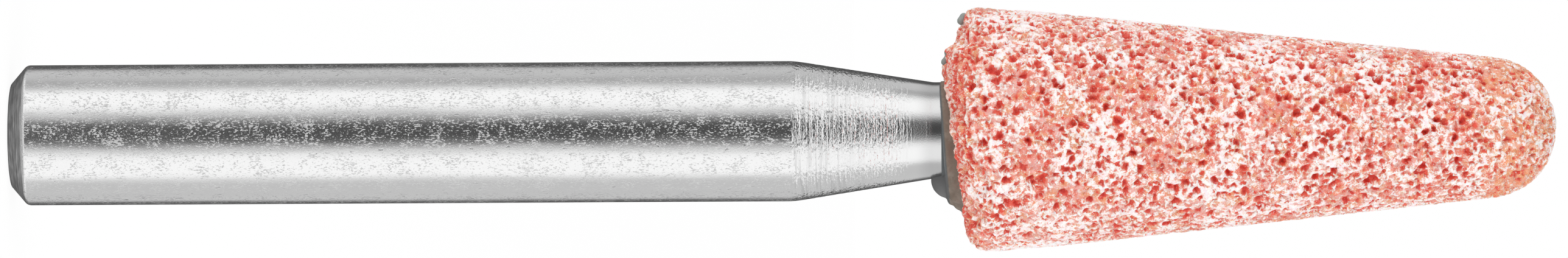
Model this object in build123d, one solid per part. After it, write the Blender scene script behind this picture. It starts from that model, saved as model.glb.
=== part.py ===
from build123d import *

import os
from math import acos, atan2, cos, hypot, pi, radians, sin, tan

# Mounted point: a rotary grinding tool, standing on the flat end of its shank with its axis along Z.
# A steel shank is turned from one bar: a ground straight for the collet, a taper down to a slim
# neck, and a grooved pin that reaches into the stone. The stone is a vitrified abrasive cone with a
# ball nose and a blind bore, and its back is dressed a little out of square. Cement fills the bore
# around the pin, locks into the pin's grooves, and has run out behind the stone towards +X.
# All sizes are in millimetres. The origin is the centre of the shank's end face.

# Shank, outside the stone
shank_diameter = 6.0
exposed_length = 39.8
straight_length = 33.5
neck_diameter = 4.12
neck_land_length = 0.35
end_face_diameter = 4.42
end_chamfer_length = 0.675
end_face_edge_radius = 0.1
end_chamfer_edge_radius = 0.3
taper_start_radius = 4.0
taper_end_radius = 1.0

# Pin, inside the stone
pin_diameter = 3.2
pin_length = 14.0
pin_tip_chamfer = 0.35
key_groove_count = 4
key_groove_pitch = 2.9
key_groove_width = 0.9
key_groove_floor_width = 0.4
key_groove_depth = 0.3
first_key_groove = 2.6

# Stone
head_length = 26.25
head_rim_diameter = 10.7
nose_radius = 2.97
back_slope_angle = 12.5
back_tilt_angle = 4.2
back_corner_radius = 1.4
bore_end_angle = 118.0

# Cement
seat_film = 0.05
pin_film = 0.28
pin_end_film = 0.5
collar_offset = 0.83
collar_back_diameter = 4.4
collar_flank_angle = 42.0
run_diameter = 1.6
run_reach = 2.15
run_rise = 0.16

# Places worked out from the sizes above
shank_radius = shank_diameter / 2
neck_radius = neck_diameter / 2
pin_radius = pin_diameter / 2
pin_tip_height = exposed_length + pin_length
bore_radius = pin_radius + pin_film
bore_end_height = pin_tip_height + pin_end_film
bore_point_height = bore_end_height + bore_radius / tan(radians(bore_end_angle / 2))
head_tip_height = exposed_length + head_length
head_rim_radius = head_rim_diameter / 2
nose_centre_height = head_tip_height - nose_radius
back_slope = tan(radians(back_slope_angle))
back_apex = seat_film - neck_radius * tan(radians(back_slope_angle - back_tilt_angle))

# The plane at the shank's shoulder, leaned as the stone's back is: its +X side is the higher one
leaned_back = Pos(0, 0, exposed_length) * Rot(0, -back_tilt_angle, 0)


def turned(points, roundings=()):
    """The solid turned about Z from straight sides through (radius, height) points.

    Each rounding is (radius, height, fillet radius) and rounds the corner at that place.
    """
    outline = Polyline(*[(radius, 0, height) for radius, height in points], close=True)
    section = make_face(outline)
    for radius, height, fillet_radius in roundings:
        corner = section.vertices().sort_by_distance((radius, 0, height))[0]
        section = fillet(corner, fillet_radius)
    return revolve(section, axis=Axis.Z)


def pin_outline():
    """The pin's side from the shoulder to its chamfered tip, with a keying groove at each pitch."""
    floor_radius = pin_radius - key_groove_depth
    points = [(pin_radius, exposed_length)]
    for index in range(key_groove_count):
        middle = exposed_length + first_key_groove + index * key_groove_pitch
        points += [
            (pin_radius, middle - key_groove_width / 2),
            (floor_radius, middle - key_groove_floor_width / 2),
            (floor_radius, middle + key_groove_floor_width / 2),
            (pin_radius, middle + key_groove_width / 2),
        ]
    points += [
        (pin_radius, pin_tip_height - pin_tip_chamfer),
        (pin_radius - pin_tip_chamfer, pin_tip_height),
        (0, pin_tip_height),
    ]
    return points


def turned_shank():
    """End face, chamfer, straight, taper, neck and grooved pin, turned as one piece."""
    end_face = (end_face_diameter / 2, 0)
    chamfer_end = (shank_radius, end_chamfer_length)
    taper_start = (shank_radius, straight_length)
    taper_end = (neck_radius, exposed_length - neck_land_length)
    shoulder = (neck_radius, exposed_length)
    return turned(
        [(0, 0), end_face, chamfer_end, taper_start, taper_end, shoulder] + pin_outline(),
        [
            (*end_face, end_face_edge_radius),
            (*chamfer_end, end_chamfer_edge_radius),
            (*taper_start, taper_start_radius),
            (*taper_end, taper_end_radius),
        ],
    )


def stone_blank():
    """The cone and its ball nose, before the back is dressed and the bore is made."""
    rim_height = exposed_length + back_apex + head_rim_radius * back_slope
    fall = nose_centre_height - rim_height
    to_rim = atan2(-fall, head_rim_radius)
    to_tangent = to_rim + acos(nose_radius / hypot(head_rim_radius, fall))
    tangent_point = on_nose(to_tangent)
    flank_spread = (head_rim_radius - tangent_point[0]) / (tangent_point[1] - rim_height)
    base_height = exposed_length + back_apex
    base_radius = head_rim_radius + flank_spread * (rim_height - base_height)
    sides = Polyline(
        (0, 0, head_tip_height),
        (0, 0, base_height),
        (base_radius, 0, base_height),
        (tangent_point[0], 0, tangent_point[1]),
    )
    halfway = on_nose((to_tangent + pi / 2) / 2)
    nose = ThreePointArc(sides @ 1, (halfway[0], 0, halfway[1]), sides @ 0)
    return revolve(make_face(sides + nose), axis=Axis.Z)


def on_nose(angle):
    """The (radius, height) point of the ball nose at an angle above its centre's level."""
    return (nose_radius * cos(angle), nose_centre_height + nose_radius * sin(angle))


def dressed_off():
    """What is dressed from the stone's back: all below a shallow cone on the leaned plane."""
    reach = 2 * head_rim_radius
    return leaned_back * turned(
        [(0, back_apex), (reach, back_apex + reach * back_slope), (reach, -reach), (0, -reach)]
    )


def stone_bore():
    """The blind bore with its drill point, from the shank's shoulder up."""
    return turned(
        [
            (0, exposed_length + back_apex),
            (bore_radius, exposed_length + back_apex),
            (bore_radius, bore_end_height),
            (0, bore_point_height),
        ]
    )


def abrasive_head():
    """The stone: leaned back with a rounded rim, straight flank, ball nose and blind bore."""
    head = stone_blank() - dressed_off()
    rim = head.edges().sort_by(Edge.length)[-1]
    head = fillet(rim, back_corner_radius)
    return head - stone_bore()


def cement_collar():
    """The cement outside the bore, before the shank and the stone are cut from it: a cone that
    stands off centre on the stone's back, and a drop that hangs from it beside the neck."""
    back_radius = collar_back_diameter / 2
    height = head_rim_radius * back_slope
    top_radius = back_radius + height * tan(radians(collar_flank_angle))
    cone = turned([(0, 0), (back_radius, 0), (top_radius, height), (0, height)])
    drop = Pos(run_reach, 0, run_rise) * Sphere(run_diameter / 2)
    return leaned_back * (Pos(collar_offset, 0, 0) * cone + drop)


def cement_bond(shank, head):
    """Cement around the pin, in its grooves and behind the stone, in one piece."""
    return cement_collar() + stone_bore() - head - shank


shank = turned_shank()
grinding_head = abrasive_head()
cement = cement_bond(shank, grinding_head)

os.makedirs("parts", exist_ok=True)
for node, solid in {"shank": shank, "grinding_head": grinding_head, "cement": cement}.items():
    export_step(solid, f"parts/{node}.step")
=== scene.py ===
import logging
from collections.abc import Mapping, Sequence
from dataclasses import dataclass, field
from enum import Enum
from math import acos, atan2, ceil, cos, hypot, pi, radians, sin, tan, tau
from random import Random

import bpy
from mathutils import Matrix, Vector


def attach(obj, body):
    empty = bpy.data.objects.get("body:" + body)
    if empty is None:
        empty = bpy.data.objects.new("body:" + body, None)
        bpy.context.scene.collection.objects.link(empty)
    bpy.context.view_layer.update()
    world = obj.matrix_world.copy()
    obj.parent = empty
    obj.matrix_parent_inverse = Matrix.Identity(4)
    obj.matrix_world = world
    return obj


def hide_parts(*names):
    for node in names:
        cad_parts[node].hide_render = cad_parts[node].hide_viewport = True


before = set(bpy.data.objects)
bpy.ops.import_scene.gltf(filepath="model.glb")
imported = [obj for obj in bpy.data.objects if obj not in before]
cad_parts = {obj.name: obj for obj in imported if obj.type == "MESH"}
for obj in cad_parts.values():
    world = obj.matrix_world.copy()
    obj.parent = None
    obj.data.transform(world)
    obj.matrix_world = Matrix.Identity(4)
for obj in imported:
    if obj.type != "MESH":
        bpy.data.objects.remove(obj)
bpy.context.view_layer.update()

log = logging.getLogger("mounted_point")

# A millimetre, in the scene's metres
MM = 0.001

# A length too small to see, in millimetres
HAIR = 0.001

# The most that two faces turn from each other and are still shaded as one, in degrees
SMOOTH_TURN = 40.0

# The mesh attribute that holds the place that a point had before the relief moved it
REST_PLACE = "rest_place"

Pair = tuple[float, float]
Triple = tuple[float, float, float]

# The same factor on each axis, the middle of three random numbers, and a white light
EVEN: Triple = (1.0, 1.0, 1.0)
MIDDLE: Triple = (0.5, 0.5, 0.5)
WHITE: Triple = (1.0, 1.0, 1.0)


class Slot(Enum):
    """The record's material slots."""

    STEEL = "shank_steel"
    STONE = "abrasive_stone"
    CEMENT = "bonding_cement"


class Field:
    """One output of a node, with arithmetic that adds Math nodes."""

    def __init__(self, graph: "Graph", socket: bpy.types.NodeSocket) -> None:
        """Keeps the graph and the node's output socket."""
        self.graph = graph
        self.socket = socket

    def __add__(self, other: "Field | float") -> "Field":
        """Sum."""
        return self.graph.maths("ADD", self, other)

    def __radd__(self, other: float) -> "Field":
        """Sum with a number on the left."""
        return self.graph.maths("ADD", other, self)

    def __sub__(self, other: "Field | float") -> "Field":
        """Difference."""
        return self.graph.maths("SUBTRACT", self, other)

    def __rsub__(self, other: float) -> "Field":
        """Difference from a number on the left."""
        return self.graph.maths("SUBTRACT", other, self)

    def __mul__(self, other: "Field | float") -> "Field":
        """Product."""
        return self.graph.maths("MULTIPLY", self, other)

    def __rmul__(self, other: float) -> "Field":
        """Product with a number on the left."""
        return self.graph.maths("MULTIPLY", other, self)

    def __truediv__(self, other: "Field | float") -> "Field":
        """Quotient."""
        return self.graph.maths("DIVIDE", self, other)

    def rise(self, low: float, high: float) -> "Field":
        """A smooth step from 0 at low to 1 at high. Low may be the larger.

        Args:
            low: The value that gives 0.
            high: The value that gives 1.

        Returns:
            The step, from 0 to 1.
        """
        settings = {"interpolation_type": "SMOOTHSTEP", "clamp": True}
        sockets = {"Value": self, "From Min": low, "From Max": high}
        return self.graph.node("ShaderNodeMapRange", settings, sockets, "Result")

    def least(self, other: "Field | float") -> "Field":
        """The smaller of two values."""
        return self.graph.maths("MINIMUM", self, other)

    def most(self, other: "Field | float") -> "Field":
        """The larger of two values."""
        return self.graph.maths("MAXIMUM", self, other)


class Graph:
    """A node tree, of a material, a world or a mesh modifier, and the ways to add to it."""

    def __init__(self, tree: bpy.types.NodeTree) -> None:
        """Keeps the tree, and clears it."""
        self.tree = tree
        tree.nodes.clear()

    def node(
        self,
        kind: str,
        settings: Mapping[str, object] | None = None,
        sockets: Mapping[str | int, object] | None = None,
        output: str | int = 0,
    ) -> Field:
        """Adds a node.

        Args:
            kind: The node's type.
            settings: Its settings, which are set before its sockets.
            sockets: Values or links of its inputs, by name or number.
            output: The output to return, by name or number.

        Returns:
            That output.
        """
        made = self.tree.nodes.new(kind)
        for name, value in (settings or {}).items():
            setattr(made, name, value)
        for key, value in (sockets or {}).items():
            self._feed(self._find(made.inputs, key), value)
        return Field(self, self._find(made.outputs, output))

    def _find(
        self, sockets: Sequence[bpy.types.NodeSocket], key: str | int
    ) -> bpy.types.NodeSocket:
        """The socket in use that has a name, or the one at a number."""
        if isinstance(key, int):
            return sockets[key]
        return next(socket for socket in sockets if socket.name == key and socket.enabled)

    def _feed(self, socket: bpy.types.NodeSocket, value: object) -> None:
        """Links a field to an input, or sets the input to a plain value."""
        if isinstance(value, Field):
            self.tree.links.new(value.socket, socket)
        elif socket.type == "RGBA" and isinstance(value, tuple):
            socket.default_value = (*value[:3], 1.0)
        else:
            socket.default_value = value

    def maths(self, operation: str, *values: Field | float) -> Field:
        """A Math node on one or more values."""
        return self.node("ShaderNodeMath", {"operation": operation}, dict(enumerate(values)))

    def vector(self, operation: str, *values: Field | Triple) -> Field:
        """A Vector Math node on one or more vectors. A dot product or a length gives a number."""
        output = "Value" if operation in ("DOT_PRODUCT", "LENGTH") else "Vector"
        settings = {"operation": operation}
        return self.node("ShaderNodeVectorMath", settings, dict(enumerate(values)), output)

    def scaled(self, vector: Field, factor: Field | float) -> Field:
        """The vector times a number."""
        settings = {"operation": "SCALE"}
        return self.node("ShaderNodeVectorMath", settings, {0: vector, "Scale": factor})

    def blend(self, share: Field | float, low: Field | Triple, high: Field | Triple) -> Field:
        """A colour between two, by share."""
        sockets = {"Factor": share, "A": low, "B": high}
        return self.node("ShaderNodeMix", {"data_type": "RGBA"}, sockets, "Result")

    def others(self, first: Field) -> dict[str, Field]:
        """All the outputs in use of a node, by name."""
        outputs = first.socket.node.outputs
        return {output.name: Field(self, output) for output in outputs if output.enabled}

    def axes(self, vector: Field) -> tuple[Field, Field, Field]:
        """The X, Y and Z of a vector."""
        parts = self.others(self.node("ShaderNodeSeparateXYZ", None, {"Vector": vector}))
        return parts["X"], parts["Y"], parts["Z"]

    def cells(self, place: Field, scale: float) -> dict[str, Field]:
        """Voronoi cells.

        Args:
            place: Where they are read.
            scale: Cells for each unit of length.

        Returns:
            The node's outputs by name.
        """
        sockets = {"Vector": place, "Scale": scale}
        settings = {"voronoi_dimensions": "3D"}
        return self.others(self.node("ShaderNodeTexVoronoi", settings, sockets))

    def facet(self, cell: Mapping[str, Field], place: Field) -> Field:
        """The height of a cell's face, which leans at random.

        Args:
            cell: The cell, as cells gives it.
            place: Where the cells were read.

        Returns:
            The height, 0 at the cell's middle, in the unit of place.
        """
        lean = self.vector("SUBTRACT", cell["Color"], MIDDLE)
        run = self.vector("SUBTRACT", place, cell["Position"])
        return self.vector("DOT_PRODUCT", lean, run)

    def object_place(self) -> Field:
        """The place on the object, in millimetres."""
        place = self.node("ShaderNodeTexCoord", None, None, "Object")
        return self.scaled(place, 1.0 / MM)

    def bump(self, relief: Field, strength: Field | float = 1.0) -> Field:
        """The normal of a relief in millimetres, softened where its strength is below 1."""
        sockets = {"Strength": strength, "Distance": MM, "Height": relief}
        return self.node("ShaderNodeBump", None, sockets, "Normal")

    def radius(self, place: Field) -> Field:
        """How far a place is from the Z axis."""
        return self.vector("LENGTH", self.vector("MULTIPLY", place, (1.0, 1.0, 0.0)))

    def surface(self, sockets: Mapping[str, object]) -> None:
        """Ends a material's graph in a Principled shader with these inputs."""
        shader = self.node("ShaderNodeBsdfPrincipled", None, sockets, "BSDF")
        self.node_output("ShaderNodeOutputMaterial", {"Surface": shader})

    def node_output(self, kind: str, sockets: Mapping[str | int, object]) -> None:
        """Adds the node that a graph ends in."""
        made = self.tree.nodes.new(kind)
        for key, value in sockets.items():
            self._feed(self._find(made.inputs, key), value)


def new_material(name: str) -> tuple[bpy.types.Material, Graph]:
    """An empty material that uses nodes, and its graph."""
    made = bpy.data.materials.new(name)
    made.use_nodes = True
    return made, Graph(made.node_tree)


@dataclass(frozen=True)
class Cloud:
    """Cloud noise: its features for each millimetre, its finer layers, how strong those are, and
    what each axis is multiplied by before it is read."""

    per_mm: float
    layers: float = 2.0
    rough: float = 0.5
    squeeze: Triple = EVEN

    def read(self, graph: Graph, place: Field) -> dict[str, Field]:
        """Reads the noise.

        Args:
            graph: The graph to add to.
            place: The place, in millimetres.

        Returns:
            The noise as value, mostly between 0.3 and 0.7, and the node's outputs by name, of
            which Color holds three such noises.
        """
        if self.squeeze != EVEN:
            place = graph.vector("MULTIPLY", place, self.squeeze)
        sockets = {"Vector": place, "Scale": self.per_mm, "Detail": self.layers}
        sockets["Roughness"] = self.rough
        made = graph.node("ShaderNodeTexNoise", {"noise_dimensions": "3D"}, sockets)
        return {"value": made, **graph.others(made)}

    def value(self, graph: Graph, place: Field) -> Field:
        """The noise alone."""
        return self.read(graph, place)["value"]

    def about_zero(self, graph: Graph, place: Field) -> Field:
        """The noise alone, with its middle at 0."""
        return self.value(graph, place) - 0.5


@dataclass(frozen=True)
class Ramp:
    """A smooth step of a value: where it starts, where it ends, which may be the lower of the two,
    and how high it rises."""

    start: float
    end: float
    height: float = 1.0

    def of(self, value: Field) -> Field:
        """The step of a value, from 0 to the height."""
        step = value.rise(self.start, self.end)
        return step if self.height == 1.0 else step * self.height


@dataclass(frozen=True)
class Pits:
    """One size of pore: how many there are for each millimetre, their reach in that spacing, how
    deep they are in millimetres, the share of them that is left out, and where they are read. Then
    how much their reach varies, how soft that choice is, and where their walls lie."""

    per_mm: float
    reach: float
    depth: float
    closed: float
    shift: Triple
    variety: float = 0.16
    softness: float = 0.04
    wall: Ramp = Ramp(0.0, 0.6)

    def read(self, graph: Graph, place: Field, fray: Field) -> Field:
        """How far a place is inside a pore.

        Args:
            graph: The graph to add to.
            place: The place, in millimetres.
            fray: A noise about 0 that makes the rims ragged.

        Returns:
            0 outside, rising to 1 at the middle of a wide pore.
        """
        hole = graph.cells(graph.vector("ADD", place, self.shift), self.per_mm)
        size, luck, _ = graph.axes(hole["Color"])
        reach = size * self.variety + (self.reach - self.variety / 2) + fray
        inside = (1.0 - hole["Distance"] / reach).most(0.0)
        return inside * luck.rise(self.closed, self.closed + self.softness)

    def sink(self, inside: Field) -> Field:
        """The depth in millimetres at a place, from how far it is inside a pore."""
        return self.wall.of(inside) * self.depth


@dataclass(frozen=True)
class Structure:
    """The abrasive at a place. Its shares run from 0 to 1: dressed is for pale tops, wide and fine
    are for the two sizes of pore, nose and back for the two ends, and tint is a random number for
    each grain. Depth, and small, the part of it too fine for the mesh, are in millimetres."""

    dressed: Field
    wide: Field
    fine: Field
    nose: Field
    back: Field
    tint: Field
    depth: Field
    small: Field


@dataclass(frozen=True)
class Grain:
    """The abrasive's structure, in millimetres. The relief and the colours both read it, at the
    place that a point had before the relief moved it. The bare values say how far the dressed tops
    give way at the pores and the two ends."""

    wide: Pits = Pits(2.1, 0.44, 0.18, 0.36, (7.3, 2.1, 4.7))
    fine: Pits = Pits(3.3, 0.48, 0.08, 0.2, (1.9, 8.4, 3.3))
    wander: Cloud = Cloud(2.1)
    wander_reach: float = 0.45
    ripple: Cloud = Cloud(7.0)
    ripple_reach: float = 0.14
    fray: Cloud = Cloud(8.0, 3.0, 0.65)
    fray_reach: float = 0.35
    fray_lift: float = 0.1
    patches: Cloud = Cloud(0.55)
    tops: Cloud = Cloud(4.4, 4.0, 0.75)
    tops_share: float = 0.7
    dressed: Ramp = Ramp(0.405, 0.58)
    wide_bare: float = 0.25
    fine_bare: float = 0.22
    nose_bare: float = 0.03
    back_bare: float = 0.01
    grains_per_mm: float = 3.1
    break_depth: float = 0.03
    step_depth: float = 0.05
    facet_slope: float = 0.6
    back: Ramp = Ramp(41.9, 40.6)
    back_tilt: float = 4.2
    nose: Ramp = Ramp(61.5, 64.0)
    nose_closed: float = 0.5

    def read(self, graph: Graph, place: Field) -> Structure:
        """Works out the structure at a place.

        Args:
            graph: The graph to add to.
            place: The place at rest, in millimetres.

        Returns:
            The structure there.
        """
        wander = graph.vector("SUBTRACT", self.wander.read(graph, place)["Color"], MIDDLE)
        ripple = graph.vector("SUBTRACT", self.ripple.read(graph, place)["Color"], MIDDLE)
        bent = graph.vector("ADD", place, graph.scaled(wander, self.wander_reach))
        bent = graph.vector("ADD", bent, graph.scaled(ripple, self.ripple_reach))
        across, _, height = graph.axes(place)
        nose = self.nose.of(height)
        level = height - across * tan(radians(self.back_tilt))
        back = self.back.of(level)
        fray = self.fray.about_zero(graph, place) * self.fray_reach
        wide = self.wide.read(graph, bent, fray) * (1.0 - nose * self.nose_closed)
        fine = self.fine.read(graph, bent, fray)
        top = self.patches.value(graph, bent) * (1.0 - self.tops_share)
        top = top + self.tops.value(graph, bent) * self.tops_share
        top = top - nose * self.nose_bare - back * self.back_bare
        top = top - wide * self.wide_bare - fine * self.fine_bare + fray * self.fray_lift
        dressed = self.dressed.of(top)
        grain = graph.cells(bent, self.grains_per_mm)
        facet = graph.facet(grain, bent) * self.facet_slope
        tint, step, _ = graph.axes(grain["Color"])
        chips = (self.break_depth + step * self.step_depth + facet).most(0.0)
        broken = (1.0 - dressed) * chips
        small = self.fine.sink(fine)
        depth = broken + small + self.wide.sink(wide)
        return Structure(dressed, wide, fine, nose, back, tint, depth, small + broken)


@dataclass(frozen=True)
class Stone:
    """Vitrified pink grain: pale dressed tops, salmon broken grains and dark red pores. The red in
    the pores, the hollows and on faces that turn down is partly painted shade, and white specks are
    painted glints. The shares say how much of a tone or a noise goes in."""

    white: Triple = (0.98, 0.925, 0.92)
    blush: Triple = (0.98, 0.72, 0.70)
    lavender: Triple = (0.90, 0.80, 0.88)
    cream: Triple = (0.98, 0.76, 0.58)
    pink: Triple = (0.95, 0.49, 0.44)
    salmon: Triple = (0.92, 0.27, 0.19)
    orange: Triple = (0.99, 0.41, 0.21)
    # Red and dark red are partly the grain's own colour and partly painted shade in pores and
    # hollows; painted_pore_shade is painted shade on the pores' floors.
    red: Triple = (0.91, 0.11, 0.065)
    dark_red: Triple = (0.80, 0.075, 0.05)
    painted_pore_shade: Triple = (0.68, 0.03, 0.022)
    hues: Cloud = Cloud(1.6, 3.0, 0.65)
    specks: Cloud = Cloud(14.0, 3.0, 0.7)
    flush: Cloud = Cloud(4.5, 3.0, 0.7)
    # The noise of the painted glints.
    glints: Cloud = Cloud(21.0, 1.0)
    crumbs_per_mm: float = 7.0
    grain_tint: float = 0.6
    crumb_tint: float = 0.4
    tinted: Ramp = Ramp(0.3, 0.85)
    warmed: Ramp = Ramp(0.50, 0.62, 0.75)
    nose_warmth: float = 0.6
    back_warmth: float = 0.3
    fine_share: float = 0.8
    # Painted shade: facing_down blends faces that turn down towards red and takes pale dust off
    # them, as if they were shaded.
    facing_down: Ramp = Ramp(-0.5, -0.95)
    # Painted shade in the hollows: sunk reddens the colour where the fine relief is deep.
    sunk: Ramp = Ramp(0.05, 0.22, 0.5)
    deep_share: float = 1.55
    speck_share: float = 1.3
    shaded: Ramp = Ramp(0.1, 1.0)
    dusty: Ramp = Ramp(0.27, 0.85)
    dust_lost_to_painted_shade: float = 0.5
    flush_specks: float = 0.7
    flushed: Ramp = Ramp(0.42, 0.66, 0.9)
    cooled: Ramp = Ramp(0.5, 0.62, 0.5)
    cream_share: float = 1.6
    # Painted glints: how many white specks stand in for sparkle, and how white they are.
    painted_glinting: Ramp = Ramp(0.64, 0.70, 0.85)
    pore_least: float = 0.4
    pore_tint: float = 0.6
    pore_edge: Ramp = Ramp(0.15, 0.33)
    pore_floor: Ramp = Ramp(0.4, 0.75)
    speck_relief: float = 0.035
    sunk_relief: float = 0.45
    dust_softens: float = 0.85
    gloss: float = 0.34
    dust_dulls: float = 0.36
    refraction: float = 1.45
    glow: float = 0.6
    glow_reach: float = 0.3
    glow_tone: Triple = (1.0, 0.35, 0.25)

    def broken(self, graph: Graph, rest: Field, read: Structure, crumb: Field) -> Field:
        """The colour of the broken grains.

        Args:
            graph: The graph to add to.
            rest: The place at rest, in millimetres.
            read: The structure there.
            crumb: A random number for each crumb.

        Returns:
            Salmon to pink, and orange in places and at the two ends.
        """
        tint = self.tinted.of(read.tint * self.grain_tint + crumb * self.crumb_tint)
        body = graph.blend(tint, self.salmon, self.pink)
        warm = self.warmed.of(self.hues.value(graph, rest))
        warm = warm + read.nose * self.nose_warmth + read.back * self.back_warmth
        return graph.blend(warm.least(1.0), body, self.orange)

    def dressed(self, graph: Graph, rest: Field, speck: Field) -> Field:
        """The colour of the dressed tops.

        Args:
            graph: The graph to add to.
            rest: The place at rest, in millimetres.
            speck: A fine noise about 0.

        Returns:
            White to blush, and lavender in places.
        """
        flush = self.flush.read(graph, rest)
        blushed = self.flushed.of(flush["value"] + speck * self.flush_specks)
        pale = graph.blend(blushed, self.white, self.blush)
        cool = self.cooled.of(graph.axes(flush["Color"])[0])
        return graph.blend(cool, pale, self.lavender)

    def material(self, grain: Grain) -> bpy.types.Material:
        """The stone's material, on the structure that shaped its relief.

        Args:
            grain: That structure.

        Returns:
            The material.
        """
        made, graph = new_material("pink_grain")
        rest = graph.node("ShaderNodeAttribute", {"attribute_name": REST_PLACE}, None, "Vector")
        read = grain.read(graph, rest)
        speck = self.specks.about_zero(graph, rest)
        crumb = graph.cells(rest, self.crumbs_per_mm)
        facing = graph.node("ShaderNodeNewGeometry", None, None, "Normal")
        # Painted shade: under is the share of faces that turn down, which are reddened and keep
        # less pale dust.
        under = self.facing_down.of(graph.axes(facing)[2])
        deep = read.wide + read.fine * self.fine_share
        body = self.broken(graph, rest, read, graph.axes(crumb["Color"])[2])
        # Painted shade: the deeper the fine relief, the redder the colour.
        sunk = self.sunk.of(read.small)
        # Painted shade in the pores, the hollows and on faces that turn down, mixed with random
        # specks, blends the colour towards red.
        shade = deep * self.deep_share + sunk + speck * self.speck_share + under
        body = graph.blend(self.shaded.of(shade), body, self.red)
        # Pale dust, thinned on faces that turn down as part of their painted shade.
        dust = read.dressed + speck * self.speck_share * (1.0 - deep)
        dust = self.dusty.of(dust) * (1.0 - under * self.dust_lost_to_painted_shade)
        body = graph.blend(dust, body, self.dressed(graph, rest, speck))
        body = graph.blend(dust * (1.0 - dust) * self.cream_share, body, self.cream)
        # Painted glints: white specks at random stand in for sparkle.
        painted_glint = self.painted_glinting.of(self.glints.value(graph, rest))
        body = graph.blend(painted_glint, body, self.white)
        varied = read.tint * self.pore_tint + self.pore_least
        # Painted shade in the pores: dark red on their walls, and darker still on their floors.
        body = graph.blend(self.pore_edge.of(read.wide) * varied, body, self.dark_red)
        body = graph.blend(self.pore_floor.of(read.wide) * varied, body, self.painted_pore_shade)
        relief = graph.facet(crumb, rest) + speck * self.speck_relief
        relief = relief - read.small * self.sunk_relief
        strength = 1.0 - dust * self.dust_softens
        graph.surface(
            {
                "Base Color": body,
                "Roughness": self.gloss + dust * self.dust_dulls,
                "Normal": graph.bump(relief, strength),
                "IOR": self.refraction,
                "Subsurface Weight": self.glow,
                "Subsurface Scale": self.glow_reach * MM,
                "Subsurface Radius": self.glow_tone,
            }
        )
        return made


@dataclass(frozen=True)
class GroundSteel:
    """Ground and turned steel: flecks and nicks on the straight, rings and glints on the taper,
    streaks round the chamfer, and painted shade on the neck next to the stone. Lengths and depths
    are in millimetres."""

    tone: Triple = (0.66, 0.66, 0.66)
    # The dull tone of nicks, bands and chamfer streaks, which also paints the shade on the neck.
    dull_and_painted_shade: Triple = (0.34, 0.34, 0.34)
    roughness: float = 0.15
    chamfer_roughness: float = 0.15
    specks: Cloud = Cloud(16.0, 3.0, 0.7, (1.0, 1.0, 0.5))
    gather: Cloud = Cloud(1.6, 4.0, 0.6)
    nicks: Cloud = Cloud(5.0, 2.0, 0.5, (1.0, 1.0, 0.5))
    waves: Cloud = Cloud(0.7, squeeze=(1.0, 1.0, 0.22))
    rings: Cloud = Cloud(8.0, 2.0, 0.5, (0.05, 0.05, 1.0))
    glints: Cloud = Cloud(11.0, 2.0, 0.5, (0.45, 0.45, 1.0))
    grit: Cloud = Cloud(17.0, 3.0, 0.7)
    streaks: Cloud = Cloud(7.0, 3.0, 0.5, (0.25, 0.25, 1.0))
    taper: Ramp = Ramp(33.4, 33.52)
    marks: Ramp = Ramp(38.9, 37.4)
    chamfer: Ramp = Ramp(0.66, 0.58)
    gathered: Ramp = Ramp(0.35, 0.62, 0.09)
    flecked: Ramp = Ramp(0.50, 0.68)
    nicked: Ramp = Ramp(0.315, 0.27)
    grit_depth: float = 0.004
    turned_grit_depth: float = 0.002
    fleck_depth: float = 0.0078
    nick_depth: float = 0.005
    wave_depth: float = 0.03
    ring_depth: float = 0.062
    chamfer_ring_depth: float = 0.05
    glint_depth: float = 0.04
    banded: Ramp = Ramp(-0.04, 0.12, 0.3)
    bands_along: Ramp = Ramp(37.4, 34.6)
    nick_wear: float = 0.35
    streaked: Ramp = Ramp(0.3, 0.7, 0.75)
    # Painted shade on the neck, next to the stone.
    neck: Ramp = Ramp(38.6, 39.4, 0.34)

    def material(self) -> bpy.types.Material:
        """The shank's material."""
        made, graph = new_material("ground_steel")
        place = graph.object_place()
        along = graph.axes(place)[2]
        tapered = self.taper.of(along)
        chamfer = self.chamfer.of(along)
        straight = (1.0 - tapered) * (1.0 - chamfer)
        turned = tapered * self.marks.of(along)
        gather = self.gathered.of(self.gather.value(graph, place))
        fleck = self.flecked.of(self.specks.value(graph, place) - gather) * straight
        nick = self.nicked.of(self.nicks.value(graph, place)) * straight
        rings = self.rings.about_zero(graph, place)
        relief = (
            self.grit.value(graph, place) * (self.grit_depth - turned * self.turned_grit_depth)
            + fleck * self.fleck_depth
            - nick * self.nick_depth
            + self.waves.value(graph, place) * self.wave_depth
            + rings * (turned * self.ring_depth + chamfer * self.chamfer_ring_depth)
            + self.glints.about_zero(graph, place) * turned * self.glint_depth
        )
        band = self.banded.of(rings) * turned * self.bands_along.of(along)
        streak = self.streaked.of(self.streaks.value(graph, place))
        # Dull tone of nicks, chamfer streaks and bands, with painted shade on the neck.
        worn = nick * self.nick_wear + chamfer * streak + band + self.neck.of(along)
        graph.surface(
            {
                "Base Color": graph.blend(worn.least(1.0), self.tone, self.dull_and_painted_shade),
                "Metallic": 1.0,
                "Roughness": self.roughness + chamfer * self.chamfer_roughness,
                "Normal": graph.bump(relief),
            }
        )
        return made


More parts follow.
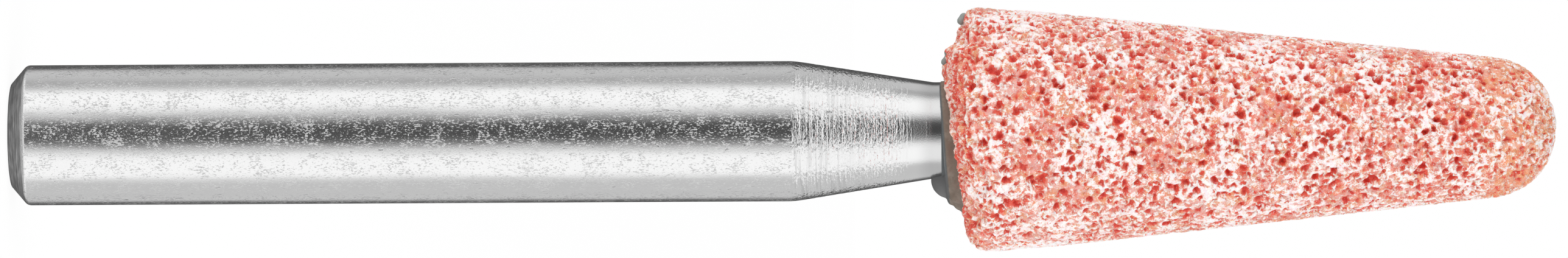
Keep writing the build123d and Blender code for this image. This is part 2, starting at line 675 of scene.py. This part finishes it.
@dataclass(frozen=True)
class CuredCement:
    """Brown-grey cement, a little waxy and mottled. A bluish painted highlight runs along its thin
    foot, the drop beside the neck is plain grey, and the beads across from it are paler. Lengths
    are in millimetres."""

    brown: Triple = (0.19, 0.145, 0.11)
    pale: Triple = (0.24, 0.20, 0.16)
    bluish_painted_highlight: Triple = (0.09, 0.11, 0.12)
    grey: Triple = (0.13, 0.13, 0.13)
    bead: Triple = (0.30, 0.33, 0.31)
    mottle: Cloud = Cloud(2.2, 4.0, 0.6)
    grit: Cloud = Cloud(14.0, 3.0, 0.6)
    shoulder: float = 39.8
    tilt: float = 4.2
    mottled: Ramp = Ramp(0.45, 0.68)
    # Painted highlight: the share of the bluish band along the foot.
    foot: Ramp = Ramp(0.14, 0.06, 0.85)
    foot_ragged: float = 0.1
    drop_across: Ramp = Ramp(1.7, 2.1)
    drop_level: Ramp = Ramp(0.24, 0.14)
    drop_ragged: float = 0.2
    beads_across: Ramp = Ramp(-2.5, -2.8)
    grit_depth: float = 0.008
    mottle_depth: float = 0.04
    roughness: float = 0.36
    grit_roughness: float = 0.2

    def material(self) -> bpy.types.Material:
        """The cement's material."""
        made, graph = new_material("cured_cement")
        place = graph.object_place()
        across, _, height = graph.axes(place)
        level = height - self.shoulder - across * tan(radians(self.tilt))
        mottle = self.mottle.value(graph, place)
        grit = self.grit.value(graph, place)
        tone = graph.blend(self.mottled.of(mottle), self.brown, self.pale)
        # Painted highlight: a bluish band along the thin foot, where the collar's rim catches the
        # light.
        foot = self.foot.of(level + (grit - 0.5) * self.foot_ragged)
        tone = graph.blend(foot, tone, self.bluish_painted_highlight)
        drop = self.drop_level.of(level + mottle * self.drop_ragged)
        drop = self.drop_across.of(across) * drop
        tone = graph.blend(drop, tone, self.grey)
        tone = graph.blend(self.beads_across.of(across), tone, self.bead)
        relief = grit * self.grit_depth + mottle * self.mottle_depth * (1.0 - drop)
        roughness = self.roughness + grit * self.grit_roughness
        normal = graph.bump(relief)
        graph.surface({"Base Color": tone, "Roughness": roughness, "Normal": normal})
        return made


def edit_mode() -> None:
    """Goes into edit mode on the active object."""
    bpy.ops.object.mode_set(mode="EDIT")


def object_mode() -> None:
    """Goes back to object mode."""
    bpy.ops.object.mode_set(mode="OBJECT")


def spun(name: str, profile: Sequence[Pair], segments: int) -> bpy.types.Object:
    """Draws a profile point by point in the XZ plane, and spins it about Z.

    Args:
        name: The object's name.
        profile: (radius, height) in millimetres, from an axis point to an axis point.
        segments: Faces in a full turn.

    Returns:
        The closed solid of revolution.
    """
    bpy.ops.object.select_all(action="DESELECT")
    start = Vector((profile[0][0], 0.0, profile[0][1])) * MM
    bpy.ops.mesh.primitive_plane_add(size=MM, location=start)
    body = bpy.context.object
    body.name = name
    bpy.ops.object.transform_apply(location=True, rotation=True, scale=True)
    edit_mode()
    bpy.ops.mesh.select_all(action="SELECT")
    bpy.ops.mesh.merge(type="CENTER")
    for (radius, height), (next_radius, next_height) in zip(profile, profile[1:]):
        step = Vector((next_radius - radius, 0.0, next_height - height)) * MM
        bpy.ops.mesh.extrude_region_move(TRANSFORM_OT_translate={"value": step})
    bpy.ops.mesh.select_all(action="SELECT")
    bpy.ops.mesh.spin(steps=segments, angle=tau, center=(0.0, 0.0, 0.0), axis=(0.0, 0.0, 1.0))
    bpy.ops.mesh.select_all(action="SELECT")
    bpy.ops.mesh.remove_doubles(threshold=HAIR * MM)
    bpy.ops.mesh.normals_make_consistent(inside=False)
    object_mode()
    bpy.ops.object.shade_smooth_by_angle(angle=radians(SMOOTH_TURN))
    return body


def stepped(start: Pair, end: Pair, spacing: float) -> list[Pair]:
    """Points on a straight line after its start, evenly spaced, with its end."""
    count = max(1, ceil(hypot(end[0] - start[0], end[1] - start[1]) / spacing))
    return [
        (
            start[0] + (end[0] - start[0]) * index / count,
            start[1] + (end[1] - start[1]) * index / count,
        )
        for index in range(1, count + 1)
    ]


def rounded(corner: Pair, before: Pair, after: Pair, radius: float, spacing: float) -> list[Pair]:
    """Points of the arc that rounds a corner, from the side of before to the side of after.

    Args:
        corner: The sharp corner.
        before: A point on the side that comes in.
        after: A point on the side that goes out.
        radius: The arc's radius.
        spacing: The most between points.

    Returns:
        The points, with both ends of the arc.
    """
    point = Vector(corner)
    towards_before = (Vector(before) - point).normalized()
    towards_after = (Vector(after) - point).normalized()
    half_angle = towards_before.angle(towards_after) / 2
    middle = (towards_before + towards_after).normalized()
    centre = point + middle * (radius / sin(half_angle))
    first = point + towards_before * (radius / tan(half_angle)) - centre
    turn = pi - 2 * half_angle
    side = towards_before.x * towards_after.y - towards_before.y * towards_after.x
    count = max(2, ceil(radius * turn / spacing))
    points = []
    for index in range(count + 1):
        angle = turn * index / count * (-1.0 if side > 0 else 1.0)
        arm = Matrix.Rotation(angle, 2) @ first
        points.append(tuple(centre + arm))
    return points


def on_circle(centre: Pair, radius: float, start: float, end: float, spacing: float) -> list[Pair]:
    """Points on an arc, with both its ends.

    Args:
        centre: The arc's centre.
        radius: Its radius.
        start: The angle of its first point, in radians.
        end: The angle of its last point.
        spacing: The most between points.

    Returns:
        The points in order.
    """
    count = max(2, ceil(radius * abs(end - start) / spacing))
    angles = [start + (end - start) * index / count for index in range(count + 1)]
    return [(centre[0] + radius * cos(a), centre[1] + radius * sin(a)) for a in angles]


def apply_modifier(body: bpy.types.Object, kind: str, **settings: object) -> None:
    """Adds a modifier to an object and applies it.

    Args:
        body: The object.
        kind: The modifier's type.
        **settings: The modifier's own settings.
    """
    bpy.ops.object.select_all(action="DESELECT")
    bpy.context.view_layer.objects.active = body
    body.select_set(True)
    bpy.ops.object.modifier_add(type=kind)
    made = body.modifiers[-1]
    for name, value in settings.items():
        setattr(made, name, value)
    bpy.ops.object.modifier_apply(modifier=made.name)


def relief_tree(name: str) -> tuple[bpy.types.GeometryNodeTree, Graph]:
    """An empty tree for a mesh modifier, with its way in and out, and its graph."""
    tree = bpy.data.node_groups.new(name, "GeometryNodeTree")
    for way in ("INPUT", "OUTPUT"):
        tree.interface.new_socket("Geometry", in_out=way, socket_type="NodeSocketGeometry")
    return tree, Graph(tree)


@dataclass
class Piece:
    """A piece that stands for one node of the frame."""

    name: str
    node: str
    slot: Slot

    def build(self) -> bpy.types.Object:
        """Models the piece in its place."""
        raise NotImplementedError

    def dress(self) -> bpy.types.Material:
        """Makes the piece's material."""
        raise NotImplementedError

    def make(self) -> bpy.types.Object:
        """Builds and dresses the piece, and puts it on the frame."""
        body = self.build()
        body.name = self.name
        body.data.materials.clear()
        body.data.materials.append(self.dress())
        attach(body, "root")
        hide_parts(self.node)
        log.info("%s: %d faces", self.name, len(body.data.polygons))
        return body


@dataclass
class Shank(Piece):
    """The turned bar, with all its sizes in millimetres: end chamfer, ground straight, taper, neck
    and the grooved pin that the stone hides."""

    finish: GroundSteel = field(default_factory=GroundSteel)
    radius: float = 3.0
    shoulder: float = 39.8
    straight: float = 33.5
    neck_radius: float = 2.06
    neck_land: float = 0.35
    end_radius: float = 2.21
    chamfer: float = 0.675
    end_edge: float = 0.1
    chamfer_edge: float = 0.3
    taper_start: float = 4.0
    taper_end: float = 1.0
    pin_radius: float = 1.6
    pin_length: float = 14.0
    pin_chamfer: float = 0.35
    groove_count: int = 4
    groove_pitch: float = 2.9
    groove_width: float = 0.9
    groove_floor: float = 0.4
    groove_depth: float = 0.3
    first_groove: float = 2.6
    mark_pitch: float = 0.09
    mark_depth: float = 0.006
    marks_length: float = 5.0
    mark_seed: int = 5
    scored_at: tuple[float, ...] = (39.2, 39.6)
    score_width: float = 0.06
    score_depth: float = 0.0015
    segments: int = 256
    arc_spacing: float = 0.08

    def corner(self, corner: Pair, before: Pair, after: Pair, radius: float) -> list[Pair]:
        """A rounded corner of the outline."""
        return rounded(corner, before, after, radius, self.arc_spacing)

    def outline(self) -> list[Pair]:
        """The half section, from the middle of the end face to the pin's tip."""
        middle = (0.0, 0.0)
        end = (self.end_radius, 0.0)
        chamfer = (self.radius, self.chamfer)
        straight = (self.radius, self.straight)
        land = (self.neck_radius, self.shoulder - self.neck_land)
        shoulder = (self.neck_radius, self.shoulder)
        points = [middle]
        points += self.corner(end, middle, chamfer, self.end_edge)
        points += self.corner(chamfer, end, straight, self.chamfer_edge)
        taper = self.corner(straight, chamfer, land, self.taper_start)
        neck = self.corner(land, straight, shoulder, self.taper_end)
        points += taper + self.turning_marks(taper[-1], neck[0]) + neck + [shoulder]
        for height in self.scored_at:
            points = self.scored(points, height)
        points += [(self.pin_radius, self.shoulder)]
        floor = self.pin_radius - self.groove_depth
        for index in range(self.groove_count):
            groove = self.shoulder + self.first_groove + index * self.groove_pitch
            points += [
                (self.pin_radius, groove - self.groove_width / 2),
                (floor, groove - self.groove_floor / 2),
                (floor, groove + self.groove_floor / 2),
                (self.pin_radius, groove + self.groove_width / 2),
            ]
        tip = self.shoulder + self.pin_length
        points += [(self.pin_radius, tip - self.pin_chamfer)]
        points += [(self.pin_radius - self.pin_chamfer, tip), (0.0, tip)]
        return points

    def scored(self, points: list[Pair], height: float) -> list[Pair]:
        """The outline with a fine line scored round it at a height."""
        kept = [point for point in points if abs(point[1] - height) > self.score_width / 2]
        below = max(index for index, point in enumerate(kept) if point[1] < height)
        (low_radius, low), (high_radius, high) = kept[below], kept[below + 1]
        line = []
        for step, depth in ((-0.5, 0.0), (0.0, self.score_depth), (0.5, 0.0)):
            place = height + step * self.score_width
            radius = low_radius + (high_radius - low_radius) * (place - low) / (high - low)
            line.append((radius - depth, place))
        return kept[: below + 1] + line + kept[below + 1 :]

    def turning_marks(self, start: Pair, end: Pair) -> list[Pair]:
        """Points down the taper between two others, each a little off the line, as the lathe left
        them. The marks die out towards the neck.

        Args:
            start: The upper end of the taper.
            end: Its lower end.

        Returns:
            The points between the two.
        """
        chance = Random(self.mark_seed)
        points = []
        for radius, height in stepped(start, end, self.mark_pitch)[:-1]:
            share = max(0.0, 1.0 - (height - self.straight) / self.marks_length)
            depth = self.mark_depth * share * chance.uniform(-1.0, 1.0)
            points.append((radius + depth, height))
        return points

    def build(self) -> bpy.types.Object:
        """Spins the shank from its outline."""
        return spun(self.name, self.outline(), self.segments)

    def dress(self) -> bpy.types.Material:
        """The ground and turned steel."""
        return self.finish.material()


@dataclass(frozen=True)
class Wear:
    """How far the stone stands proud of its smooth form, or is worn below it, in millimetres.
    Across is towards +X, and a level is a height on a plane that leans as the back does."""

    bore_margin: Ramp = Ramp(0.02, 0.25)
    bore_cover: Ramp = Ramp(0.5, 1.0)
    widest: float = 41.8
    off_widest: Ramp = Ramp(1.0, 2.6)
    below_tip: Ramp = Ramp(0.1, 0.8)
    inset: float = 0.004
    proud: float = 0.06
    back_proud: float = 0.12
    back_level: Ramp = Ramp(41.0, 40.3)
    lumps: Cloud = Cloud(1.1, 3.0, 0.6)
    ragged: float = 0.45
    cement_offset: float = 0.83
    cement_edge: Ramp = Ramp(2.9, 3.4)
    cement_sink: float = 0.12
    rim_chips: Cloud = Cloud(1.5, 3.0, 0.6)
    rim_chipped: Ramp = Ramp(0.47, 0.68, 0.28)
    rim_level: Ramp = Ramp(42.4, 41.3)
    nose_chips: Cloud = Cloud(2.2, 3.0, 0.6)
    nose_chipped: Ramp = Ramp(0.46, 0.66, 0.13)
    nose_below_tip: Ramp = Ramp(3.5, 1.0)
    cut_across: Ramp = Ramp(-3.3, -3.9, 0.36)
    cut_level: Ramp = Ramp(41.35, 40.75)
    rest_across: Ramp = Ramp(3.9, 4.6, 0.17)
    rest_from: Ramp = Ramp(40.4, 40.9)
    rest_to: Ramp = Ramp(41.6, 41.1)


@dataclass
class Head(Piece):
    """The stone, with all its sizes in millimetres: a ball nose, a straight flank, a rounded rim, a
    shallow back that leans towards +X, and the bore."""

    grain: Grain = field(default_factory=Grain)
    finish: Stone = field(default_factory=Stone)
    wear: Wear = field(default_factory=Wear)
    shoulder: float = 39.8
    length: float = 26.25
    rim_radius: float = 5.35
    nose_radius: float = 2.97
    back_apex: float = -0.2505
    back_slope: float = 12.5
    back_tilt: float = 4.2
    back_edge: float = 1.4
    lean_end: float = 45.0
    bore_radius: float = 1.88
    bore_end: float = 54.3
    bore_point: float = 55.43
    segments: int = 288
    row: float = 0.1

    @property
    def tip(self) -> float:
        """The height of the nose."""
        return self.shoulder + self.length

    @property
    def nose_centre(self) -> Pair:
        """The centre of the nose's ball."""
        return (0.0, self.tip - self.nose_radius)

    def back(self, radius: float) -> Pair:
        """The point of the back at a radius, before the back is leaned."""
        height = self.shoulder + self.back_apex + radius * tan(radians(self.back_slope))
        return (radius, height)

    def nose_start(self) -> float:
        """The angle, from level, at which the flank meets the nose's ball."""
        corner = self.back(self.rim_radius)
        fall = self.nose_centre[1] - corner[1]
        reach = hypot(corner[0], fall)
        return atan2(-fall, corner[0]) + acos(self.nose_radius / reach)

    def flank_spread(self) -> float:
        """The flank's growth in radius for each millimetre towards the back."""
        return tan(self.nose_start())

    def outline(self) -> list[Pair]:
        """The half section, from the bore's point to the nose."""
        mouth = self.back(self.bore_radius)
        corner = self.back(self.rim_radius)
        nose = on_circle(
            self.nose_centre, self.nose_radius, self.nose_start(), pi / 2, self.row
        )
        rim = rounded(corner, mouth, nose[0], self.back_edge, self.row)
        points = [(0.0, self.bore_point), (self.bore_radius, self.bore_end), mouth]
        points += stepped(mouth, rim[0], self.row) + rim[1:]
        points += stepped(rim[-1], nose[0], self.row) + nose[1:]
        return points[:-1] + [(0.0, self.tip)]

    def lean(self, body: bpy.types.Object) -> None:
        """Leans the back, and lets the lean run out up the flank.

        Args:
            body: The spun stone.
        """
        spread = self.flank_spread()
        low = self.back(self.rim_radius)[1] + self.back_edge
        for vertex in body.data.vertices:
            across, deep, height = vertex.co / MM
            reach = hypot(across, deep)
            if reach < self.bore_radius - HAIR or height > self.lean_end:
                continue
            share = min(1.0, (self.lean_end - height) / (self.lean_end - low))
            shift = across * tan(radians(self.back_tilt)) * share
            grow = 1.0 - spread * shift / self.rim_radius
            vertex.co = Vector((across * grow, deep * grow, height + shift)) * MM

    def sunk(self, graph: Graph, place: Field) -> Field:
        """How far the surface sinks below the smooth stone.

        Args:
            graph: The graph to add to.
            place: The place at rest, in millimetres.

        Returns:
            The depth in millimetres. It is below 0 where the surface stands proud.
        """
        wear = self.wear
        across, _, height = graph.axes(place)
        level = height - across * tan(radians(self.back_tilt))
        fall = self.tip - height
        aside = graph.vector("SUBTRACT", place, (wear.cement_offset, 0.0, 0.0))
        clear = wear.cement_edge.of(graph.radius(aside))
        under = wear.back_level.of(level)
        off_widest = wear.off_widest.of(graph.maths("ABSOLUTE", level - wear.widest))
        inner = off_widest * wear.below_tip.of(fall)
        lumpy = wear.lumps.about_zero(graph, place) * wear.ragged + wear.back_proud - wear.proud
        rest = wear.rest_across.of(across) * wear.rest_from.of(level) * wear.rest_to.of(level)
        proud = inner * (wear.proud + wear.inset) - wear.inset
        proud = proud + under * lumpy * clear + rest
        chips = wear.rim_chipped.of(wear.rim_chips.value(graph, place))
        chips = chips * wear.rim_level.of(level) * clear
        worn = wear.nose_chipped.of(wear.nose_chips.value(graph, place))
        worn = worn * wear.nose_below_tip.of(fall)
        cut = wear.cut_across.of(across) * wear.cut_level.of(level)
        cut = cut + under * (1.0 - clear) * wear.cement_sink
        outside = wear.bore_margin.of(graph.radius(place) - self.bore_radius)
        nose = wear.bore_cover.of(height - self.bore_point)
        depth = self.grain.read(graph, place).depth + chips + worn + cut - proud
        return depth * outside.most(nose)

    def roughen(self, body: bpy.types.Object) -> None:
        """Sinks the broken grains and the pores into the stone, and keeps each point's old place
        for the material to read.

        Args:
            body: The smooth stone.
        """
        tree, graph = relief_tree("grain_relief")
        start = graph.node("NodeGroupInput", None, None, "Geometry")
        position = graph.node("GeometryNodeInputPosition", None, None, "Position")
        place = graph.scaled(position, 1.0 / MM)
        stored = graph.node(
            "GeometryNodeStoreNamedAttribute",
            {"data_type": "FLOAT_VECTOR", "domain": "POINT"},
            {"Geometry": start, "Name": REST_PLACE, "Value": place},
            "Geometry",
        )
        normal = graph.node("GeometryNodeInputNormal", None, None, "Normal")
        offset = graph.scaled(normal, self.sunk(graph, place) * -MM)
        sockets = {"Geometry": stored, "Offset": offset}
        moved = graph.node("GeometryNodeSetPosition", None, sockets, "Geometry")
        graph.node_output("NodeGroupOutput", {"Geometry": moved})
        apply_modifier(body, "NODES", node_group=tree)

    def build(self) -> bpy.types.Object:
        """Spins the stone, leans its back and roughens it."""
        body = spun(self.name, self.outline(), self.segments)
        self.lean(body)
        self.roughen(body)
        return body

    def dress(self) -> bpy.types.Material:
        """The pink grain."""
        return self.finish.material(self.grain)


@dataclass(frozen=True)
class Lump:
    """A ball of cement: its place on the leaned back and its radius, in millimetres."""

    across: float
    deep: float
    up: float
    radius: float


@dataclass
class Cement(Piece):
    """The cement that has run out behind the stone: a collar off the axis with a steeper skirt
    round it, a drop beside the neck, lumps and beads, and a thin foot on the shoulder. It also
    fills the bore round the pin. Sizes are in millimetres."""

    finish: CuredCement = field(default_factory=CuredCement)
    shoulder: float = 39.8
    tilt: float = 4.2
    offset: float = 0.83
    foot_radius: float = 2.2
    flank_angle: float = 42.0
    height: float = 0.95
    skirt_radius: float = 2.66
    skirt_offset: float = 0.56
    skirt_low: float = 0.03
    skirt_edge: float = 0.1
    skirt_high: float = 0.6
    fill_start: float = 39.79
    foot_film: float = 2.1
    foot_rise: float = 0.4
    fill_radius: float = 1.88
    fill_end: float = 54.3
    fill_point: float = 55.43
    around: bpy.types.Object | None = None
    voxel: float = 0.05
    smoothing: float = 0.5
    smoothings: int = 9
    ball_cuts: int = 3
    segments: int = 96
    lumps: tuple[Lump, ...] = (
        Lump(2.15, 0.0, 0.16, 0.79),
        Lump(2.9, -0.2, 0.34, 0.36),
        Lump(3.1, -0.5, 0.62, 0.4),
        Lump(2.75, -1.3, 0.5, 0.42),
        Lump(2.2, -1.9, 0.45, 0.4),
        Lump(2.6, 1.2, 0.45, 0.45),
        Lump(-2.9, -0.35, 0.36, 0.17),
        Lump(-2.98, -0.35, 0.45, 0.18),
        Lump(-3.3, -0.3, 0.52, 0.17),
        Lump(-4.6, -0.2, 1.2, 0.19),
        Lump(-4.75, -0.15, 1.33, 0.2),
    )

    def collar(self) -> bpy.types.Object:
        """The collar and its lumps, in one skin, leaned as the stone's back is."""
        top = self.foot_radius + self.height * tan(radians(self.flank_angle))
        outline = [(0.0, 0.0), (self.foot_radius, 0.0), (top, self.height), (0.0, self.height)]
        body = self.turned_aside("collar", outline, self.offset)
        low, edge, high = self.skirt_low, self.skirt_low + self.skirt_edge, self.skirt_high
        reach = self.skirt_radius
        outline = [(0.0, low), (reach - self.skirt_edge, low), (reach, edge), (reach, high)]
        skirt = self.turned_aside("skirt", outline + [(0.0, high)], self.skirt_offset)
        balls = [self.ball(lump) for lump in self.lumps]
        bpy.ops.object.select_all(action="DESELECT")
        for each in (*balls, skirt, body):
            each.select_set(True)
        bpy.context.view_layer.objects.active = body
        bpy.ops.object.join()
        tilt = Matrix.Rotation(radians(-self.tilt), 4, "Y")
        body.data.transform(Matrix.Translation((0.0, 0.0, self.shoulder * MM)) @ tilt)
        apply_modifier(body, "REMESH", mode="VOXEL", voxel_size=self.voxel * MM)
        apply_modifier(body, "SMOOTH", factor=self.smoothing, iterations=self.smoothings)
        return body

    def turned_aside(self, name: str, outline: Sequence[Pair], offset: float) -> bpy.types.Object:
        """A turned body whose axis is moved towards +X.

        Args:
            name: Its name.
            outline: Its half section, in millimetres.
            offset: How far the axis is moved, in millimetres.

        Returns:
            The body.
        """
        body = spun(name, outline, self.segments)
        edit_mode()
        bpy.ops.mesh.select_all(action="SELECT")
        bpy.ops.transform.translate(value=(offset * MM, 0.0, 0.0))
        object_mode()
        return body

    def ball(self, lump: Lump) -> bpy.types.Object:
        """One lump, before the skin joins them."""
        bpy.ops.object.select_all(action="DESELECT")
        place = (lump.across * MM, lump.deep * MM, lump.up * MM)
        bpy.ops.mesh.primitive_ico_sphere_add(
            subdivisions=self.ball_cuts, radius=lump.radius * MM, location=place
        )
        bpy.ops.object.transform_apply(location=True, rotation=True, scale=True)
        return bpy.context.object

    def build(self) -> bpy.types.Object:
        """Joins the collar to the fill of the bore, and cuts the shank out of both."""
        body = self.collar()
        low, high, point = self.fill_start, self.fill_end, self.fill_point
        foot, foot_end = self.foot_film, self.shoulder + self.foot_rise
        outline = [(0.0, low), (foot, low), (foot, foot_end), (self.fill_radius, foot_end)]
        outline += [(self.fill_radius, high), (0.0, point)]
        fill = spun("fill", outline, self.segments)
        apply_modifier(body, "BOOLEAN", operation="UNION", object=fill, solver="EXACT")
        bpy.data.objects.remove(fill, do_unlink=True)
        apply_modifier(body, "BOOLEAN", operation="DIFFERENCE", object=self.around, solver="EXACT")
        return body

    def dress(self) -> bpy.types.Material:
        """The cured cement."""
        return self.finish.material()


@dataclass(frozen=True)
class Softbox:
    """A panel of light beside the camera, which neither the camera nor the metal sees. It reaches
    from one angle to another, from the camera's side towards +X. Lengths are in millimetres."""

    name: str
    inner: float
    outer: float
    radiance: float = 0.71
    distance: float = 320.0
    tall: float = 620.0


@dataclass
class Studio:
    """The camera, the lights, the surroundings and the floor. Lengths are in millimetres, and
    angles in degrees. The surroundings, as the metal sees them, change their level in steps: their
    angles are from the camera's side towards +X, and lifts are angles towards +Z. Over the two
    ends of the tool they hold a level of their own."""

    middle: Triple = (-0.094, 0.0, 33.06)
    distance: float = 420.0
    width_seen: float = 67.05
    yaw: float = 1.1
    roll: float = 0.315
    sensor: float = 36.0
    ambient: float = 0.815
    floor_size: float = 6000.0
    floor_glow: float = 0.88
    floor_white: float = 1.03
    floor_paint: float = 0.9
    dark: float = 0.095
    nose_lift: Ramp = Ramp(20.5, 27.0)
    shank_lift: Ramp = Ramp(-15.0, -25.0)
    ends_around: Ramp = Ramp(134.0, 100.0)
    ends_level: float = 1.32
    last_lift: Ramp = Ramp(-24.0, -42.0)
    last_level: float = 0.17
    last_loss: float = 0.7
    steps: tuple[Ramp, ...] = (
        Ramp(-13.0, -50.0, 1.32),
        Ramp(-70.0, -92.0, -0.85),
        Ramp(-100.0, -107.0, 0.21),
        Ramp(-134.0, -138.0, -0.66),
        Ramp(7.0, 42.0, 1.3),
        Ramp(71.0, 86.0, -0.61),
        Ramp(143.0, 147.0, -0.66),
    )
    softboxes: tuple[Softbox, ...] = (
        Softbox("upper_softbox", -38.0, -82.0),
        Softbox("lower_softbox", 27.0, 81.0, 0.66),
    )

    def camera(self) -> None:
        """Puts the camera on the photograph's side, with the nose to the right."""
        yaw, roll = radians(self.yaw), radians(self.roll)
        level = Vector((0.0, sin(yaw), cos(yaw)))
        upright = Vector((-1.0, 0.0, 0.0))
        back = Vector((0.0, -cos(yaw), sin(yaw)))
        right = level * cos(roll) - upright * sin(roll)
        up = upright * cos(roll) + level * sin(roll)
        data = bpy.data.cameras.new("camera")
        data.sensor_width = self.sensor
        data.lens = self.sensor * self.distance / self.width_seen
        made = bpy.data.objects.new("camera", data)
        bpy.context.scene.collection.objects.link(made)
        place = (Vector(self.middle) + back * self.distance) * MM
        turn = Matrix((right, up, back)).transposed().to_4x4()
        made.matrix_world = Matrix.Translation(place) @ turn
        bpy.context.scene.camera = made

    def light(self, box: Softbox) -> None:
        """Adds a softbox that faces the object."""
        turn = radians((box.inner + box.outer) / 2)
        half = radians(abs(box.outer - box.inner) / 2)
        across = 2 * box.distance * tan(half) * MM
        tall = box.tall * MM
        data = bpy.data.lights.new(box.name, "AREA")
        data.shape = "RECTANGLE"
        data.size, data.size_y = across, tall
        data.energy = box.radiance * pi * across * tall
        made = bpy.data.objects.new(box.name, data)
        bpy.context.scene.collection.objects.link(made)
        away = Vector((sin(turn), -cos(turn), 0.0))
        made.location = (Vector(self.middle) + away * box.distance) * MM
        made.rotation_mode = "QUATERNION"
        made.rotation_quaternion = away.to_track_quat("Z", "Y")
        made.visible_camera = False
        made.visible_glossy = False

    def surroundings(self) -> None:
        """White to the camera, a plain level for diffuse light, and a studio for the metal: dark
        round the camera, bright above and below it, grey at the sides and dark behind."""
        world = bpy.data.worlds.new("studio")
        world.use_nodes = True
        bpy.context.scene.world = world
        graph = Graph(world.node_tree)
        direction = graph.node("ShaderNodeTexCoord", None, None, "Generated")
        x, y, z = graph.axes(direction)
        side = graph.maths("DEGREES", graph.maths("ARCTAN2", x, y * -1.0))
        lift = graph.maths("DEGREES", graph.maths("ARCSINE", z))
        metal = sum(step.of(side) for step in self.steps) + self.dark
        ends = self.nose_lift.of(lift).most(self.shank_lift.of(lift))
        ends = ends * self.ends_around.of(graph.maths("ABSOLUTE", side))
        metal = metal + ends * (self.ends_level - metal)
        last = self.last_lift.of(lift)
        metal = metal + last * (self.last_level - metal * self.last_loss)
        path = graph.others(graph.node("ShaderNodeLightPath"))
        level = graph.blend(path["Is Glossy Ray"], (self.ambient,) * 3, metal)
        level = graph.blend(path["Is Camera Ray"], level, WHITE)
        shown = graph.node("ShaderNodeBackground", None, {"Color": level, "Strength": 1.0})
        graph.node_output("ShaderNodeOutputWorld", {"Surface": shown})

    def floor(self) -> None:
        """Adds the floor, which is white to the camera and keeps a faint shadow. The light and the
        metal's reflections pass it."""
        bpy.ops.object.select_all(action="DESELECT")
        bpy.ops.mesh.primitive_plane_add(size=self.floor_size * MM)
        made = bpy.context.object
        made.name = "floor"
        made.visible_glossy = False
        made.visible_shadow = False
        material, graph = new_material("pale_floor")
        path = graph.others(graph.node("ShaderNodeLightPath"))
        tone = (self.floor_paint,) * 3
        paint = graph.node("ShaderNodeBsdfDiffuse", None, {"Color": tone}, "BSDF")
        white = {"Color": WHITE, "Strength": self.floor_white}
        glow = graph.node("ShaderNodeEmission", None, white)
        share = path["Is Camera Ray"] * self.floor_glow
        mixed = graph.node("ShaderNodeMixShader", None, {0: share, 1: paint, 2: glow}, "Shader")
        graph.node_output("ShaderNodeOutputMaterial", {"Surface": mixed})
        made.data.materials.append(material)

    def build(self) -> None:
        """Builds the whole studio."""
        bpy.context.scene.view_settings.view_transform = "Standard"
        self.camera()
        for box in self.softboxes:
            self.light(box)
        self.surroundings()
        self.floor()
        log.info("studio: %d softboxes", len(self.softboxes))


def main() -> None:
    """Builds the tool piece by piece, and then the studio."""
    logging.basicConfig(level=logging.INFO, format="%(name)s: %(message)s")
    shank = Shank("turned_shank", "shank", Slot.STEEL).make()
    Head("grained_head", "grinding_head", Slot.STONE).make()
    Cement("cement_collar", "cement", Slot.CEMENT, around=shank).make()
    Studio().build()


if __name__ == "__main__":
    main()
